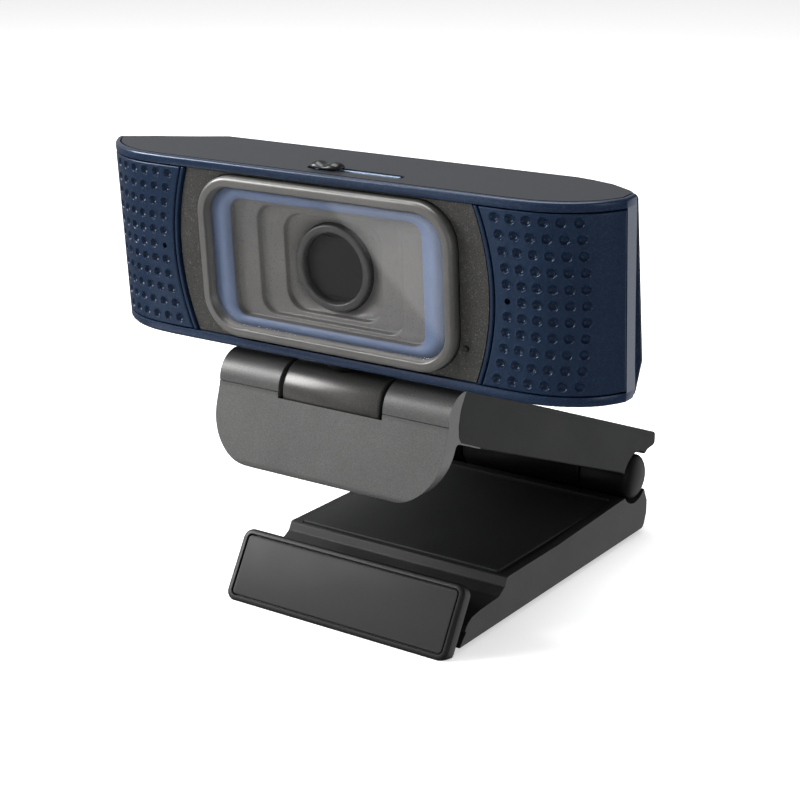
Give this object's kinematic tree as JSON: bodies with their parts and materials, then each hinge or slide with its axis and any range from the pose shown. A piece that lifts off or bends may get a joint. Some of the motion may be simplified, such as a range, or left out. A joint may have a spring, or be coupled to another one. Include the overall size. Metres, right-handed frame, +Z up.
{
  "type": "webcam",
  "caption": "Wide desktop webcam with autofocus lens window, sliding privacy shutter and a folding clip stand with tilting head.",
  "frame": {"origin": "middle of the bounding box on the plane the stand rests on, stand as drawn", "axes": "+X to the right of someone facing the lens, -Y to the front where the lens looks, +Z up"},
  "size_m": [0.1066, 0.0824, 0.0851],
  "materials": {
    "navy_metal": "satin metallic",
    "slate_shell": "fine texture",
    "navy_grille": "satin",
    "sparkle_bezel": "sparkle texture",
    "lens_frame_metal": "satin",
    "clear_glass": "polished",
    "black_plastic": "satin",
    "grey_plastic": "satin texture",
    "rubber": "matte",
    "steel": "plain",
    "circuit_board": "solder mask",
    "thread_brass": "turned"
  },
  "bodies": {
    "base": {"base_body": "grey_plastic", "base_deck": "black_plastic", "tripod_insert": "thread_brass", "rubber_foot_1": "rubber", "rubber_foot_2": "rubber", "rubber_foot_3": "rubber", "rubber_foot_4": "rubber", "foot_pin": "steel", "hinge_drum_left": "black_plastic", "hinge_drum_right": "black_plastic", "hinge_pin": "steel"},
    "foot": {"foot_plate": "slate_shell", "foot_insert": "rubber"},
    "upper_jaw": {"jaw_lip": "grey_plastic", "jaw_arm": "slate_shell", "arm_grip": "rubber", "hinge_drum_middle": "black_plastic", "tilt_pin": "steel"},
    "knuckle": {"tilt_knuckle": "slate_shell"},
    "head": {"accent_strip_left": "navy_metal", "accent_strip_right": "navy_metal", "cable_inlet": "rubber", "cable_socket": "steel", "centre_bezel": "sparkle_bezel", "cover_glass": "clear_glass", "front_shell": "navy_metal", "grille_left": "navy_grille", "grille_right": "navy_grille", "image_processor": "black_plastic", "image_sensor": "black_plastic", "lens_frame": "lens_frame_metal", "lens_housing": "black_plastic", "lens_ring": "black_plastic", "main_board": "circuit_board", "microphone_left": "steel", "microphone_right": "steel", "rear_screw_1": "steel", "rear_screw_2": "steel", "rear_screw_3": "steel", "rear_screw_4": "steel", "rear_shell": "slate_shell", "status_light": "grey_plastic", "status_light_pipe": "clear_glass", "stepped_recess": "grey_plastic", "swivel_washer": "steel", "top_cover": "slate_shell"},
    "shutter": {"privacy_shutter": "black_plastic"},
    "focus": {"focus_carrier": "black_plastic", "front_lens": "clear_glass", "rear_lens": "clear_glass"}
  },
  "joints": [
    {"name": "jaw_open", "type": "hinge", "parent": "base", "child": "upper_jaw", "pos_m": [0, 0.03299, 0.0132], "axis": [1, 0, 0], "range_deg": [-60, 18]},
    {"name": "head_tilt", "type": "hinge", "parent": "upper_jaw", "child": "knuckle", "pos_m": [0, -0.03201, 0.043], "axis": [1, 0, 0], "range_deg": [-15, 30]},
    {"name": "head_swivel", "type": "hinge", "parent": "knuckle", "child": "head", "pos_m": [0, -0.03109, 0.05008], "axis": [0, -0.068, 0.9977], "range_deg": [-90, 90]},
    {"name": "shutter_slide", "type": "slide", "parent": "head", "child": "shutter", "axis": [1, 0, 0], "range_m": [0, 0.012]},
    {"name": "lens_focus", "type": "slide", "parent": "head", "child": "focus", "axis": [0, -0.9977, -0.068], "range_m": [0, 0.0004], "stiffness_N_per_m": 30},
    {"name": "foot_tilt", "type": "hinge", "parent": "base", "child": "foot", "pos_m": [0, -0.03015, 0.0038], "axis": [1, 0, 0], "range_deg": [-25, 0]}
  ]
}
